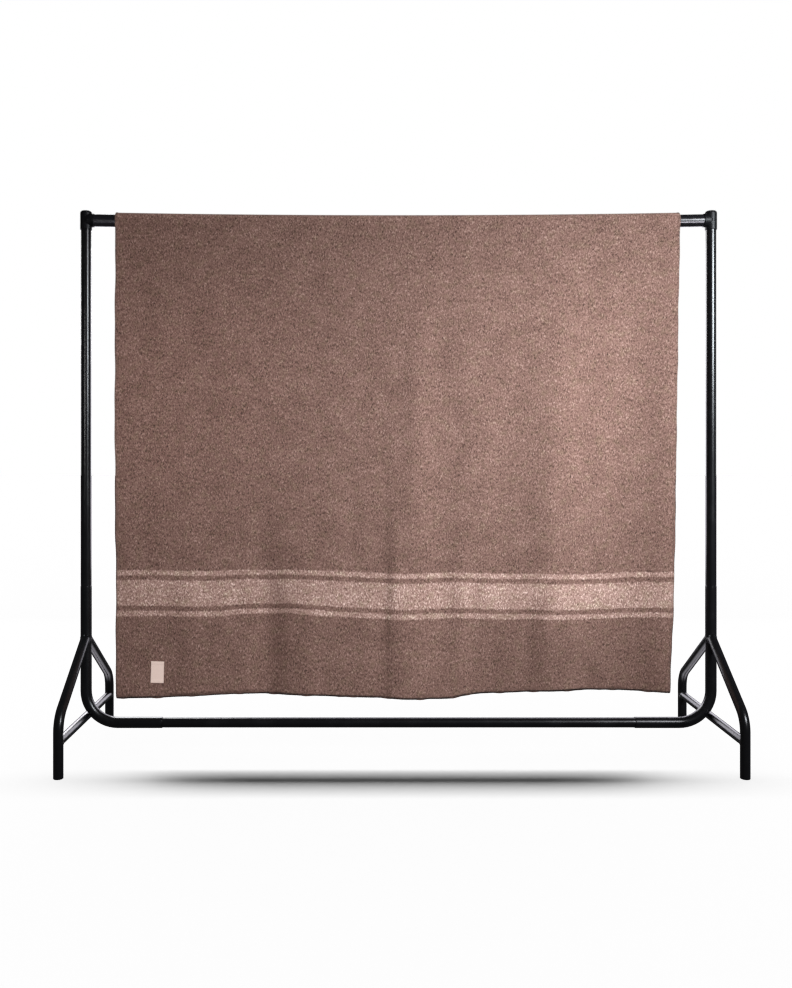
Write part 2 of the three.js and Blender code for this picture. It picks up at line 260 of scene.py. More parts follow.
def yarn_finish(name, dark, light):
    material, start = new_finish(name, {"Roughness": 0.9, "Specular IOR Level": 0.2, "Sheen Weight": 0.1})
    place = start.node("TexCoord", out="Object")
    tone = place.noise(420.0, 2.0, 0.6) * 0.6 + place.noise(95.0, 1.0) * 0.5 - 0.05
    hairs = place.noise(1500.0, 2.0, 0.6)
    colour = tone.step(0.38, 0.64).mix(dark, light)
    return connect(material, base_color=colour, normal=hairs.bump(0.4, 0.0004))


def tape_finish():
    material, start = new_finish("label_tape", {"Roughness": 0.72, "Specular IOR Level": 0.3})
    weave = start.node("UVMap", {"uv_map": CLOTH_MAP})
    along = start.node("SeparateXYZ", None, {0: weave}, out="Y")
    rib = start.node("Math", {"operation": "SINE"}, {0: along * (2 * math.pi / TAPE_RIB)})
    mottle = weave.noise(600.0, 2.0)
    colour = mottle.step(0.3, 0.75).mix((0.95, 0.68, 0.59, 1.0), (1.0, 0.76, 0.67, 1.0))
    relief = rib * 0.5 + mottle * 0.4
    return connect(material, base_color=colour, normal=relief.bump(0.35, 0.0003))


side_yarn = yarn_finish("side_yarn", (0.055, 0.032, 0.027, 1.0), (0.30, 0.195, 0.160, 1.0))
hem_yarn = yarn_finish("hem_yarn", (0.010, 0.007, 0.006, 1.0), (0.045, 0.027, 0.022, 1.0))
label_thread = yarn_finish("label_thread", (0.72, 0.57, 0.50, 1.0), (0.90, 0.77, 0.70, 1.0))
tape = tape_finish()

# %% [markdown]
# ## Black powder coat and moulded plastic
# The tubes are sprayed with a satin black powder that melts into a faint orange peel. Handling leaves
# soft dull patches and a little grey dust. The corner fittings are moulded, slightly duller and finely
# grained. Both finishes read the object's own place, because the pieces never move on their own.

# %% Paint and plastic
CLEAN_BLACK = (0.0034, 0.0033, 0.0040, 1.0)
DUSTY_BLACK = (0.0105, 0.0102, 0.0118, 1.0)
SCUFF_STRETCH = (1.0, 1.0, 0.25)


def coat_finish(name, shine, roughness, peel_scale, peel_depth):
    material, start = new_finish(name, {"Specular IOR Level": shine})
    place = start.node("TexCoord", out="Object")
    handled = place.noise(14.0, 4.0, 0.65)
    scuff = place.stretched(*SCUFF_STRETCH).noise(160.0, 3.0, 0.7).step(0.66, 0.78)
    dull = handled.step(0.35, 0.75) * 0.05 + scuff * 0.02 + roughness
    dust = handled.step(0.45, 0.8) * 0.35 + scuff * 0.4
    colour = dust.mix(CLEAN_BLACK, DUSTY_BLACK)
    peel = place.noise(peel_scale)
    return connect(material, base_color=colour, roughness=dull, normal=peel.bump(0.006, peel_depth))


paint = coat_finish("black_powder_coat", shine=0.4, roughness=0.24, peel_scale=420.0, peel_depth=0.0005)
plastic = coat_finish(
    "black_moulded_plastic", shine=0.2, roughness=0.40, peel_scale=1100.0, peel_depth=0.0003,
)

# %% [markdown]
# ## How the blanket hangs
# A sheet over a bar hangs straight down its two sides. Where it is longer it opens into folds that are
# nothing at the rail and deepest at the hem. The photograph shows them in the stripes, which swing up
# where the cloth goes back and down where it comes forward. The table below holds one row for each ridge,
# trough or slope, in millimetres. A cloth simulation could drape a sheet too, but its folds would fall
# where they please, so the sheet is shaped from the table on the solid's own curve.

# %% The fold table and the curve through it
Fold = namedtuple("Fold", "across band hem band_lift hem_lift growth")
FOLDS = (
    Fold(-810, 2, 16, 0, -6, 1.6), Fold(-700, 0, 2, 2, -6, 2.0), Fold(-600, -2, -2, 1, -3, 2.5),
    Fold(-520, -10, -9, 1, 1, 3.0), Fold(-440, -21, -19, 6, 3, 4.0), Fold(-366, -27, -25, 6, 3, 6.0),
    Fold(-306, -9, -4, 10, 5, 6.0), Fold(-250, -3, 2, 8, 5, 4.0), Fold(-150, -3, 4, 3, 3, 2.5),
    Fold(-70, 0, 6, 0, 1, 2.0), Fold(-26, 0, 7, -2, 0, 2.6), Fold(-4, 7, 12, -2, -1, 2.6),
    Fold(45, 9, 14, -3, -3, 1.1), Fold(100, -3, 4, -2, -4, 1.0), Fold(140, -11, -5, -2, -6, 1.0),
    Fold(165, -11, -9, -1, -5, 1.1), Fold(200, -5, -15, -2, 0, 1.2), Fold(255, -7, -30, -4, 3, 1.2),
    Fold(325, -9, -38, -6, 3, 1.2), Fold(422, 8, -27, -5, 8, 1.1), Fold(462, 13, -22, -6, 9, 1.0),
    Fold(520, 2, -30, -8, 9, 1.0), Fold(580, -14, -42, -10, 8, 1.0), Fold(655, -20, -44, -8, 6, 1.0),
    Fold(735, -8, -32, -5, 4, 1.0), Fold(810, 4, -12, -4, 2, 1.0),
)


def hermite(a, b, slope_a, slope_b, t):
    ends = a * (2 * t**3 - 3 * t**2 + 1) + b * (3 * t**2 - 2 * t**3)
    return ends + slope_a * (t**3 - 2 * t**2 + t) + slope_b * (t**3 - t**2)


def fold_value(across, column):
    places = np.array([fold.across for fold in FOLDS]) * MM
    values = np.array([getattr(fold, column) for fold in FOLDS]) * (1 if column == "growth" else MM)
    before = np.maximum(np.arange(len(FOLDS)) - 1, 0)
    after = np.minimum(np.arange(len(FOLDS)) + 1, len(FOLDS) - 1)
    slopes = (values[after] - values[before]) / (places[after] - places[before])
    place = np.clip(across, places[0], places[-1])
    row = np.clip(np.searchsorted(places, place) - 1, 0, len(FOLDS) - 2)
    span = places[row + 1] - places[row]
    t = (place - places[row]) / span
    return hermite(values[row], values[row + 1], slopes[row] * span, slopes[row + 1] * span, t)

# %% [markdown]
# ## Small unevenness
# A heavy cloth is never dead flat between its folds. Long shallow ripples run down the drop, and soft
# creases lie where it was folded or pulled: those come from a second table, each a trough or ridge between
# two points. The hem turns back here and there, from a third table, and wanders by a millimetre or two.

# %% Sizes of the drape, in metres
WIDTH = 1.620
LENGTH = 2.134
THICK = 0.0035
OFFSET = -0.0025
FRONT_DROP = 1.359
BAND_DROP = 1.068
LEFT_GATHER, LEFT_GATHER_GROWTH = 0.006, 2.0
RIGHT_GATHER, RIGHT_GATHER_GROWTH = 0.027, 0.6
BACK_FOLD, BACK_WAVES, BACK_GROWTH, BACK_GATHER = 0.009, 2, 1.8, 0.028
RAIL_CLEARANCE = 0.002
# The yarn round the edges fills up the last of the width
EDGE_INSET = 0.0020
SEWN_HALF = WIDTH / 2 - EDGE_INSET

rail_low, rail_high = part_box("top_rail")
RAIL_HALF = rail_high.x
RAIL_RADIUS = rail_high.y
RAIL_TOP_END = rail_high.z - RAIL_RADIUS
RAIL_SAG = RAIL_TOP_END - (rail_low.z + RAIL_RADIUS)
WRAP_RADIUS = RAIL_RADIUS + RAIL_CLEARANCE + THICK / 2
WRAP_LENGTH = math.pi * WRAP_RADIUS
BACK_DROP = LENGTH - FRONT_DROP - WRAP_LENGTH
print("wrap radius", round(WRAP_RADIUS, 5), "back drop", round(BACK_DROP, 4), "sag", round(RAIL_SAG, 4))

# %% Creases and turned hem, in millimetres
Crease = namedtuple("Crease", "across drop across_end drop_end width height")
CREASES = (
    Crease(5, 860, 0, 1140, 11, 2.5), Crease(66, 280, 62, 1010, 34, 5.0),
    Crease(470, 60, 458, 960, 40, 2.0), Crease(818, 40, 806, 1190, 62, 14.0),
    Crease(-500, 150, -488, 900, 34, 4.0), Crease(176, 480, 190, 900, 26, -3.0),
    Crease(330, 640, 318, 1000, 34, -2.5), Crease(-815, 300, -815, 940, 90, 7.0),
    Crease(-230, 520, -214, 1100, 44, 2.0), Crease(-120, 700, -134, 1250, 30, -2.0),
    Crease(236, 1010, 214, 1359, 22, -3.0), Crease(396, 1060, 384, 1359, 26, -3.0),
    Crease(300, 1000, 318, 1359, 30, 2.5), Crease(560, 300, 590, 900, 36, 2.0),
    Crease(450, 1130, 700, 1150, 26, -2.0), Crease(-700, 1180, -520, 1160, 30, 1.5),
)

# Where the hem turns back: its place and half width across, and how far its rim goes back
HemTurn = namedtuple("HemTurn", "across width back")
HEM_TURNS = (
    HemTurn(-790, 40, 3.0), HemTurn(-615, 50, 9.0), HemTurn(-540, 110, 7.0),
    HemTurn(-440, 60, 5.0), HemTurn(-190, 70, 2.0), HemTurn(-12, 26, 2.5),
    HemTurn(96, 40, 3.0), HemTurn(330, 90, 2.0), HemTurn(640, 70, 3.0),
)
HEM_TURN_LENGTH = 0.014
HEM_TURN_LEAST = 0.0012
# A faint ridge above the turn, as a share of how far the rim goes back
HEM_RIDGE, HEM_RIDGE_WIDTH = 0.16, 0.006


def hem_turn(across, along):
    near = np.clip(1 - along / HEM_TURN_LENGTH, 0, 1)
    back = np.full(np.shape(across), HEM_TURN_LEAST)
    for turn in HEM_TURNS:
        back = back + turn.back * MM * np.exp(-(((across - turn.across * MM) / (turn.width * MM)) ** 2))
    ridge = HEM_RIDGE * np.exp(-(((along - HEM_TURN_LENGTH) / HEM_RIDGE_WIDTH) ** 2))
    return back * (near**2 - ridge)


# %% Edges that wander, in metres and in radians to the metre
Sway = namedtuple("Sway", "reach turns start")
LEFT_EDGE = Sway(0.0008, 21, 0.8), Sway(0.0006, 47, 2.0)
RIGHT_EDGE = Sway(0.0006, 25, 2.4), Sway(0.0005, 61, 0.0)
HEM_EDGE = Sway(0.0012, 57, 0.0), Sway(0.0009, 131, 1.0)
EDGE_ZONE = 0.06


def swayed(sways, place):
    return sum(sway.reach * np.sin(place * sway.turns + sway.start) for sway in sways)


def edge_sway(across, along):
    # Each side edge wanders a little, the left and the right one differently
    left = np.clip(1 - (across + WIDTH / 2) / EDGE_ZONE, 0, 1) ** 2
    right = np.clip(1 - (WIDTH / 2 - across) / EDGE_ZONE, 0, 1) ** 2
    return left * swayed(LEFT_EDGE, along) + right * swayed(RIGHT_EDGE, along)

# %% Folds, ripples and creases down a drop
# Heights of the long, the short and the crossing ripples
LONG_RIPPLE, SHORT_RIPPLE, CROSS_RIPPLE = 0.0011, 0.0008, 0.0006
BACK_RIPPLE_SHARE = 0.6
CREASE_START = 0.06
CREASE_FADE = 0.7


def rail_height(x):
    return RAIL_TOP_END - RAIL_SAG * (1 - np.minimum(1, (x / RAIL_HALF) ** 2))


def fold_at(drop, at_band, at_hem, growth):
    upper = at_band * (np.maximum(drop, 0) / BAND_DROP) ** growth
    span = FRONT_DROP - BAND_DROP
    slope = at_band * growth * span / BAND_DROP
    lower = hermite(at_band, at_hem, slope, at_hem - at_band, (drop - BAND_DROP) / span)
    return np.where(drop <= BAND_DROP, upper, lower)


def ripples(across, drop):
    share = np.clip(drop / FRONT_DROP, 0, 1)
    height = LONG_RIPPLE * np.sin(across * 41 + 1.6 * np.sin(drop * 2.1)) * share
    height += SHORT_RIPPLE * np.sin(across * 73 + 2.2 + 0.9 * np.sin(drop * 3.3 + 1)) * share
    height += CROSS_RIPPLE * np.sin(across * 23 + drop * 9) * np.sin(drop * 6.1 + across * 4) * share
    for crease in CREASES:
        start = np.array((crease.across, crease.drop)) * MM
        run = np.array((crease.across_end, crease.drop_end)) * MM - start
        t = np.clip(((across - start[0]) * run[0] + (drop - start[1]) * run[1]) / (run @ run), 0, 1)
        aside = np.hypot(across - start[0] - t * run[0], drop - start[1] - t * run[1])
        fade = np.sin(np.pi * np.clip(t * (1 - CREASE_START) + CREASE_START, 0, 1)) ** CREASE_FADE
        height = height + crease.height * MM * fade * np.exp(-((aside / (crease.width * MM)) ** 2))
    return height


# %% The draped middle surface
STEP_ASIDE = 0.0005


def drape(across, along):
    across, along = np.broadcast_arrays(np.asarray(across, float), np.asarray(along, float))
    x = OFFSET + across + edge_sway(across, along)
    top = rail_height(x)
    wrapped = along - FRONT_DROP
    drop = np.maximum(-wrapped, 0)
    share = drop / FRONT_DROP
    from_left = across / WIDTH + 0.5
    draw = LEFT_GATHER * share**LEFT_GATHER_GROWTH * (1 - from_left)
    draw = draw - RIGHT_GATHER * share**RIGHT_GATHER_GROWTH * from_left
    growth = fold_value(across, "growth")
    depth = fold_at(drop, fold_value(across, "band"), fold_value(across, "hem"), growth)
    depth = depth + ripples(across, drop) - hem_turn(across, along)
    lift = fold_at(drop, fold_value(across, "band_lift"), fold_value(across, "hem_lift"), growth)
    front = np.stack((x + draw, -WRAP_RADIUS - depth, top - drop + lift), -1)
    angle = np.clip(wrapped / WRAP_RADIUS, 0, math.pi)
    arch = np.stack((x, -WRAP_RADIUS * np.cos(angle), top + WRAP_RADIUS * np.sin(angle)), -1)
    drop = np.maximum(wrapped - WRAP_LENGTH, 0)
    share = drop / BACK_DROP
    wave = BACK_FOLD * np.sin(2 * np.pi * BACK_WAVES * across / WIDTH) * share**BACK_GROWTH
    wave = wave + BACK_RIPPLE_SHARE * ripples(-across, drop * FRONT_DROP / BACK_DROP) * share
    back = np.stack((x - BACK_GATHER * share * across / WIDTH, WRAP_RADIUS + wave, top - drop), -1)
    shape = np.where((wrapped < 0)[..., None], front, arch)
    return np.where((wrapped > WRAP_LENGTH)[..., None], back, shape)


def cloth_frame(across, along):
    right = drape(across + STEP_ASIDE, along) - drape(across - STEP_ASIDE, along)
    up = drape(across, along + STEP_ASIDE) - drape(across, along - STEP_ASIDE)
    right /= np.linalg.norm(right, axis=-1, keepdims=True)
    up /= np.linalg.norm(up, axis=-1, keepdims=True)
    out = np.cross(right, up)
    return drape(across, along), right, up, out / np.linalg.norm(out, axis=-1, keepdims=True)


hem_middle = drape(0.0, 0.0)
print("middle of the front hem:", [round(float(value), 4) for value in hem_middle])

# %% [markdown]
# ## The blanket's sheet
# A flat grid stands for the cut cloth. Its map keeps each point's place on the flat cloth, in metres, so
# the stripes stay true however it hangs. The points then move onto the drape, and Solidify gives the
# nap's thickness to both sides. Rows lie closer together round the rail, where the cloth turns sharply.

# %% Helpers for laying, thickening and finishing a piece
def deselect_all():
    if bpy.context.object and bpy.context.object.mode != "OBJECT":
        bpy.ops.object.mode_set(mode="OBJECT")
    bpy.ops.object.select_all(action="DESELECT")


def flat_grid(name, columns, rows):
    deselect_all()
    bpy.ops.mesh.primitive_grid_add(x_subdivisions=columns, y_subdivisions=rows, size=1, calc_uvs=True)
    piece = bpy.context.object
    piece.name = piece.data.name = name
    piece.data.uv_layers[0].name = CLOTH_MAP
    spots = np.empty(len(piece.data.vertices) * 3)
    piece.data.vertices.foreach_get("co", spots)
    return piece, spots.reshape(-1, 3)[:, :2] + 0.5


def lay_on(piece, places, cloth_map):
    piece.data.vertices.foreach_set("co", places.astype(np.float32).ravel())
    corners = np.empty(len(piece.data.loops), np.int32)
    piece.data.loops.foreach_get("vertex_index", corners)
    piece.data.uv_layers[CLOTH_MAP].data.foreach_set("uv", cloth_map[corners].astype(np.float32).ravel())
    piece.data.update()


def apply_modifier(piece, kind, **settings):
    deselect_all()
    piece.select_set(True)
    bpy.context.view_layer.objects.active = piece
    modifier = piece.modifiers.new(kind.lower(), kind)
    for name, value in settings.items():
        setattr(modifier, name, value)
    bpy.ops.object.modifier_apply(modifier=modifier.name)


def finished(piece, material, node=None, angle=40):
    deselect_all()
    piece.select_set(True)
    bpy.context.view_layer.objects.active = piece
    bpy.ops.object.shade_smooth_by_angle(angle=math.radians(angle))
    piece.data.materials.clear()
    piece.data.materials.append(material)
    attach(piece, "root")
    if node:
        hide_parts(node)
    triangles = sum(len(face.vertices) - 2 for face in piece.data.polygons)
    print(piece.name, "triangles:", triangles)
    return piece


# %% Grid, drape, thickness
COLUMNS = 170
HEM_ZONE, HEM_ROWS = 0.021, 7
FRONT_ROWS, ARCH_ROWS, BACK_ROWS = 150, 14, 56


def row_places():
    hem = np.linspace(0, HEM_ZONE, HEM_ROWS, endpoint=False)
    front = np.linspace(HEM_ZONE, FRONT_DROP, FRONT_ROWS, endpoint=False)
    arch = FRONT_DROP + np.linspace(0, WRAP_LENGTH, ARCH_ROWS, endpoint=False)
    return np.concatenate((hem, front, arch, np.linspace(LENGTH - BACK_DROP, LENGTH, BACK_ROWS + 1)))


def make_blanket():
    rows = row_places()
    piece, unit = flat_grid("blanket_cloth", COLUMNS, len(rows) - 1)
    across = (unit[:, 0] - 0.5) * 2 * SEWN_HALF
    along = rows[np.rint(unit[:, 1] * (len(rows) - 1)).astype(int)]
    places = drape(across, along)
    hem = np.minimum(along, LENGTH - along) < 1e-6
    places[hem, 2] += swayed(HEM_EDGE, across[hem])
    lay_on(piece, places, np.stack((across + WIDTH / 2, along), -1))
    apply_modifier(piece, "SOLIDIFY", thickness=THICK, offset=0.0, use_even_offset=True)
    return finished(piece, wool, "blanket", angle=60)


blanket = make_blanket()

# %% [markdown]
# ## Sewn edges
# A blanket's raw edges are whipped over with yarn so that they can't fray. Each stitch goes in a few
# millimetres from the edge, round it and back in a little further on, so from the front it is a short
# slanting bar. One stitch is a few short tube segments. Hundreds of them are joined into one mesh for the
# sides and one for the hems: an array modifier would not follow the uneven edge so closely.

# %% A tube through points, as plain arrays
def sweep(points, radii, sides, closed=False):
    points = np.asarray(points, float)
    count = len(points)
    ahead = np.roll(points, -1, 0) - np.roll(points, 1, 0)
    if not closed:
        ahead[0], ahead[-1] = points[1] - points[0], points[-1] - points[-2]
    ahead /= np.linalg.norm(ahead, axis=1, keepdims=True)
    spare = np.eye(3)[np.argmin(np.abs(ahead.mean(0)))]
    first = np.cross(ahead, spare)
    first /= np.linalg.norm(first, axis=1, keepdims=True)
    second = np.cross(ahead, first)
    angles = np.arange(sides) * 2 * np.pi / sides
    ring = np.cos(angles)[:, None] * first[:, None] + np.sin(angles)[:, None] * second[:, None]
    verts = points[:, None] + ring * np.broadcast_to(radii, count)[:, None, None]
    faces = []
    for i in range(count if closed else count - 1):
        low, high = i * sides, (i + 1) % count * sides
        faces += [(low + j, low + (j + 1) % sides, high + (j + 1) % sides, high + j) for j in range(sides)]
    if not closed:
        faces.append(tuple(range(sides))[::-1])
        faces.append(tuple((count - 1) * sides + j for j in range(sides)))
    return verts.reshape(-1, 3), faces


def joined_mesh(name, parts):
    verts, faces, start = [], [], 0
    for part_verts, part_faces in parts:
        verts.append(part_verts)
        faces += [tuple(start + corner for corner in face) for face in part_faces]
        start += len(part_verts)
    mesh = bpy.data.meshes.new(name)
    mesh.from_pydata(np.concatenate(verts).tolist(), [], faces)
    piece = bpy.data.objects.new(name, mesh)
    bpy.context.scene.collection.objects.link(piece)
    deselect_all()
    piece.select_set(True)
    bpy.context.view_layer.objects.active = piece
    bpy.ops.object.mode_set(mode="EDIT")
    bpy.ops.mesh.select_all(action="SELECT")
    bpy.ops.mesh.normals_make_consistent(inside=False)
    bpy.ops.object.mode_set(mode="OBJECT")
    return piece

# %% Whip stitches along the sides and the hems
YARN_SIDES = 5
WhipStitch = namedtuple("WhipStitch", "pitch bite yarn slant")
SIDE_STITCH = WhipStitch(pitch=0.0040, bite=0.0055, yarn=0.0006, slant=0.6)
HEM_STITCH = WhipStitch(pitch=0.0021, bite=0.0052, yarn=0.0009, slant=0.7)
# Places round the edge, from the front face to the back: share of the bite inwards, share of the height
LOOP_ROUND_EDGE = (
    (1.0, 0.55), (0.72, 1.0), (0.1, 1.0), (-0.08, 0.0), (0.1, -1.0), (0.72, -1.0), (1.0, -0.55),
)
UNEVEN_PITCH, UNEVEN_BITE = 0.12, 0.15
YARN_RISE = 0.5
draws = np.random.default_rng(11)


def whip_edge(stitch, length, edge_frame):
    places = np.arange(stitch.pitch, length - stitch.pitch / 2, stitch.pitch)
    places += draws.uniform(-UNEVEN_PITCH, UNEVEN_PITCH, len(places)) * stitch.pitch
    bites = stitch.bite * draws.uniform(1 - UNEVEN_BITE, 1 + UNEVEN_BITE, len(places))
    height = THICK / 2 + stitch.yarn * YARN_RISE
    lean = np.linspace(-0.5, 0.5, len(LOOP_ROUND_EDGE)) * stitch.slant * stitch.pitch
    parts = []
    for middle, inwards, ahead, out, bite in zip(*edge_frame(places), bites):
        points = [
            middle + inwards * bite * inset + out * height * rise + ahead * shift
            for (inset, rise), shift in zip(LOOP_ROUND_EDGE, lean)
        ]
        parts.append(sweep(points, stitch.yarn, YARN_SIDES))
    return parts


def side_frame(side):
    def frame_at(along):
        middle, right, up, out = cloth_frame(np.full_like(along, side * SEWN_HALF), along)
        return middle, -side * right, up, out
    return frame_at


def hem_frame(along, way):
    def frame_at(place):
        middle, right, up, out = cloth_frame(place - SEWN_HALF, np.full_like(place, along))
        return middle, way * up, right, out
    return frame_at


side_parts = whip_edge(SIDE_STITCH, LENGTH, side_frame(-1))
side_parts += whip_edge(SIDE_STITCH, LENGTH, side_frame(1))
hem_parts = whip_edge(HEM_STITCH, 2 * SEWN_HALF, hem_frame(0.0, 1))
hem_parts += whip_edge(HEM_STITCH, 2 * SEWN_HALF, hem_frame(LENGTH, -1))
side_stitches = finished(joined_mesh("side_stitches", side_parts), side_yarn)
hem_stitches = finished(joined_mesh("hem_stitches", hem_parts), hem_yarn)
print("stitches:", len(side_parts), "on the sides,", len(hem_parts), "on the hems")

# %% [markdown]
# ## Label
# A woven label is a short length of tape with its two cut ends folded under, so it is thicker there. It
# lies on the cloth and is sewn round all four sides. A small grid on the blanket's own surface follows
# the cloth below it. The ends rise by one more layer of tape.

# %% Tape and its stitches
LABEL_WIDTH, LABEL_HEIGHT = 0.037, 0.059
LABEL_ACROSS, LABEL_ALONG = -0.690, 0.0705
LABEL_TILT = math.radians(-2)
LABEL_THICK = 0.0009
LABEL_GAP = 0.0004
FOLDED_END, FOLDED_RISE, FOLDED_SLOPE = 0.007, 0.0006, 0.0015
PUCKER, PUCKER_TURNS, PUCKER_ZONE = 0.00025, 1900, 0.003
LABEL_COLUMNS, LABEL_ROWS = 26, 44
# Heights along one stitch, from where it comes up to where it goes down
THREAD_ARCH = np.array((-0.0004, 0.0001, 0.0002, 0.0001, -0.0004))
THREAD_SIDES = 5


def label_place(x, y):
    across = LABEL_ACROSS + x * math.cos(LABEL_TILT) - y * math.sin(LABEL_TILT)
    along = LABEL_ALONG + x * math.sin(LABEL_TILT) + y * math.cos(LABEL_TILT)
    return across, along


def make_label():
    piece, unit = flat_grid("label_tape", LABEL_COLUMNS, LABEL_ROWS)
    x, y = (unit[:, 0] - 0.5) * LABEL_WIDTH, (unit[:, 1] - 0.5) * LABEL_HEIGHT
    middle, _, _, out = cloth_frame(*label_place(x, y))
    from_end = LABEL_HEIGHT / 2 - np.abs(y)
    folded = FOLDED_RISE * (1 - np.clip((from_end - FOLDED_END) / FOLDED_SLOPE, 0, 1))
    near_side = np.exp(-((LABEL_WIDTH / 2 - np.abs(x)) / PUCKER_ZONE) ** 2)
    puckers = PUCKER * np.sin(y * PUCKER_TURNS) * near_side
    height = THICK / 2 + LABEL_THICK / 2 + LABEL_GAP + folded + puckers
    lay_on(piece, middle + out * height[:, None], np.stack((x, y), -1))
    apply_modifier(piece, "SOLIDIFY", thickness=LABEL_THICK, offset=0.0)
    return finished(piece, tape, "label", angle=50)


def label_stitches(pitch=0.0032, inset=0.0024, thread=0.00026):
    wide, high = LABEL_WIDTH / 2 - inset, LABEL_HEIGHT / 2 - inset
    corners = ((-wide, -high), (wide, -high), (wide, high), (-wide, high))
    parts = []
    for (x, y), (x_end, y_end) in zip(corners, corners[1:] + corners[:1]):
        count = round(math.hypot(x_end - x, y_end - y) / pitch)
        for i in range(count):
            shares = (i + np.linspace(0.16, 0.84, len(THREAD_ARCH))) / count
            stitch_x, stitch_y = x + (x_end - x) * shares, y + (y_end - y) * shares
            middle, _, _, out = cloth_frame(*label_place(stitch_x, stitch_y))
            near_end = np.abs(stitch_y) > LABEL_HEIGHT / 2 - FOLDED_END
            height = THICK / 2 + LABEL_THICK + LABEL_GAP + FOLDED_RISE * near_end + THREAD_ARCH
            parts.append(sweep(middle + out * height[:, None], thread, THREAD_SIDES))
    return finished(joined_mesh("label_stitches", parts), label_thread)


label = make_label()
label_sewing = label_stitches()

# %% [markdown]
# ## Steel tubes
# Every tube starts as a ring of points. A straight run extrudes the ring, and a bend spins it about the
# bend's centre, exactly as a tube bender would. The ends are then filled and their rims rounded. A curve
# with a round bevel would be quicker, but a ring keeps each bend a true arc and each end flat.

# %% Ring, runs, bends and ends
TUBE_SIDES = 40
BEND_STEPS = 14
RIM_ROUND = 0.0011
# A short run at each end keeps the rounded rim from tilting the shading of the whole tube
RIM_RUN = 0.003


def start_ring(name, place, direction, radius):
    deselect_all()
    turn = Vector(direction).to_track_quat("Z", "Y").to_euler()
    bpy.ops.mesh.primitive_circle_add(vertices=TUBE_SIDES, radius=radius, location=place, rotation=turn)
    piece = bpy.context.object
    piece.name = piece.data.name = name
    bpy.ops.object.transform_apply(location=True, rotation=True, scale=True)
    bpy.ops.object.mode_set(mode="EDIT")
    bpy.ops.mesh.select_all(action="SELECT")
    return piece


def run_on(vector):
    bpy.ops.mesh.extrude_region_move(TRANSFORM_OT_translate={"value": tuple(vector)})


def close_ends(piece):
    bpy.ops.mesh.select_all(action="SELECT")
    bpy.ops.mesh.remove_doubles(threshold=1e-6)
    bpy.ops.mesh.fill_holes(sides=0)
    bpy.ops.mesh.normals_make_consistent(inside=False)
    bpy.ops.mesh.select_all(action="DESELECT")
    bpy.ops.mesh.select_mode(type="FACE")
    edit = bmesh.from_edit_mesh(piece.data)
    for face in edit.faces:
        face.select_set(len(face.verts) == TUBE_SIDES)
    bmesh.update_edit_mesh(piece.data)
    bpy.ops.mesh.region_to_loop()
    bpy.ops.mesh.bevel(offset=RIM_ROUND, segments=3, affect="EDGES")
    bpy.ops.object.mode_set(mode="OBJECT")


def straight_tube(name, start, end, radius):
    start, end = Vector(start), Vector(end)
    rim = (end - start).normalized() * RIM_RUN
    piece = start_ring(name, start, end - start, radius)
    for run in (rim, end - start - 2 * rim, rim):
        run_on(run)
    close_ends(piece)
    return piece


def bent_tube(name, start, corner, end, bend, radius):
    start, corner, end = Vector(start), Vector(corner), Vector(end)
    into, away = (corner - start).normalized(), (end - corner).normalized()
    turn = into.angle(away)
    setback = bend * math.tan(turn / 2)
    axis = into.cross(away).normalized()
    bend_start = corner - into * setback
    piece = start_ring(name, start, into, radius)
    run_on(into * RIM_RUN)
    run_on(bend_start - start - into * RIM_RUN)
    centre = bend_start + axis.cross(into) * bend
    # Spin turns left-handed about its axis, so the axis is reversed
    bpy.ops.mesh.spin(steps=BEND_STEPS, angle=turn, center=centre, axis=-axis)
    run_on(end - corner - away * (setback + RIM_RUN))
    run_on(away * RIM_RUN)
    close_ends(piece)
    return piece

# %% [markdown]
# ## The rail's tubes
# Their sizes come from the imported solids. Welded tubes run on into their neighbours, so the joint closes
# without a gap. The top rail dips a little in its middle under the blanket: a straight tube is cut into
# short lengths and its points are lowered.

# %% Straight and bent tubes
BASE_BEND = 0.092
LEG_BEND = 0.068
LEG_KNEE = 0.155
LEG_MEET = 0.325
RAIL_CUTS = 31


def box_middle(node):
    low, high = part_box(node)
    return (low + high) / 2, (high - low) / 2


def make_top_rail():
    piece = straight_tube("top_rail_tube", (-RAIL_HALF, 0, 0), (RAIL_HALF, 0, 0), RAIL_RADIUS)
    deselect_all()
    piece.select_set(True)
    bpy.context.view_layer.objects.active = piece
    bpy.ops.object.mode_set(mode="EDIT")
    bpy.ops.mesh.select_mode(type="EDGE")
    edit = bmesh.from_edit_mesh(piece.data)
    for edge in edit.edges:
        edge.select_set(edge.calc_length() > RAIL_HALF)
    bmesh.update_edit_mesh(piece.data)
    bpy.ops.mesh.subdivide(number_cuts=RAIL_CUTS)
    bpy.ops.object.mode_set(mode="OBJECT")
    for point in piece.data.vertices:
        point.co.z += float(rail_height(point.co.x))
    return finished(piece, paint, "top_rail")


def make_bottom_rail():
    middle, half = box_middle("bottom_rail")
    ends = [middle + Vector((side * half.x, 0, 0)) for side in (-1, 1)]
    return finished(straight_tube("bottom_rail_tube", *ends, half.z), paint, "bottom_rail")


